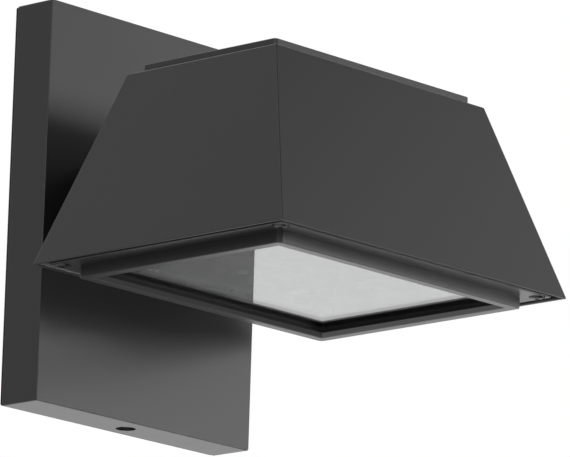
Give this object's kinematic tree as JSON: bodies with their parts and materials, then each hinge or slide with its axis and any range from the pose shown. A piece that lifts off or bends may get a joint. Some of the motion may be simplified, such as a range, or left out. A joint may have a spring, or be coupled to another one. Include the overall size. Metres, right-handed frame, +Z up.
{
  "type": "outdoor wall light",
  "caption": "Downlight for an outside wall: a tapered rectangular hood with a flat cap and a framed glass below, carried close in front of a rectangular back plate.",
  "frame": {"origin": "on the wall's surface, midway between the bracket's two slots, which is the centre of the junction box", "axes": "+X to the right along the wall as seen from the room's or garden's side, +Y into the wall, +Z up"},
  "size_m": [0.1554, 0.1583, 0.1524],
  "materials": {
    "coat": "fine-textured charcoal powder coat, satin",
    "zinc": "zinc plate, satin",
    "screw": "stainless steel, satin",
    "black_screw": "blackened, matt",
    "green_screw": "green ground screw",
    "seal": "black silicone or foam, matt",
    "ivory": "moulded, matt",
    "anodised": "black anodised, matt",
    "board": "white solder mask",
    "phosphor": "yellow phosphor dome",
    "optic": "black anti-glare, matt",
    "driver_case": "pressed, satin",
    "lead_black": "insulated wire",
    "lead_white": "insulated wire",
    "lead_green": "insulated wire",
    "lead_red": "insulated wire",
    "clear_glass": "clear tempered pane, polished"
  },
  "bodies": {
    "bracket": {"wall_bracket": "zinc", "ground_screw": "green_screw"},
    "fixture": {"back_plate": "coat", "wall_seal": "seal", "terminal_block": "ivory", "terminal_screws": "screw", "neck_seal": "seal", "neck": "coat", "neck_screws": "screw", "hood_seal": "seal", "hood_screws": "screw", "grommet": "seal", "hood": "coat", "roof_screw": "green_screw", "cap_seal": "seal", "top_cap": "coat", "cap_screws": "screw", "heat_sink": "anodised", "heat_sink_screws": "screw", "light_board": "board", "leds": "phosphor", "optic_block": "optic", "optic_screws": "black_screw", "board_connector": "ivory", "driver": "driver_case", "driver_screws": "screw", "line_lead": "lead_black", "neutral_lead": "lead_white", "ground_lead": "lead_green", "ring_terminal": "zinc", "plus_lead": "lead_red", "minus_lead": "lead_black"},
    "lock": {"lock_screw": "screw"},
    "lens": {"lens_frame": "coat", "frame_seal": "seal", "lens_seal": "seal", "lens_glass": "clear_glass", "frame_screws": "screw", "screw_seals": "seal"}
  },
  "joints": [
    {"name": "fixture_lift_off", "type": "slide", "parent": "bracket", "child": "fixture", "axis": [0, -1, 0], "range_m": [0, 0.03]},
    {"name": "lock_screw_travel", "type": "slide", "parent": "fixture", "child": "lock", "axis": [0, 0, -1], "range_m": [0, 0.005]},
    {"name": "lens_frame_drop", "type": "slide", "parent": "fixture", "child": "lens", "axis": [0, 0, -1], "range_m": [0, 0.015]}
  ]
}
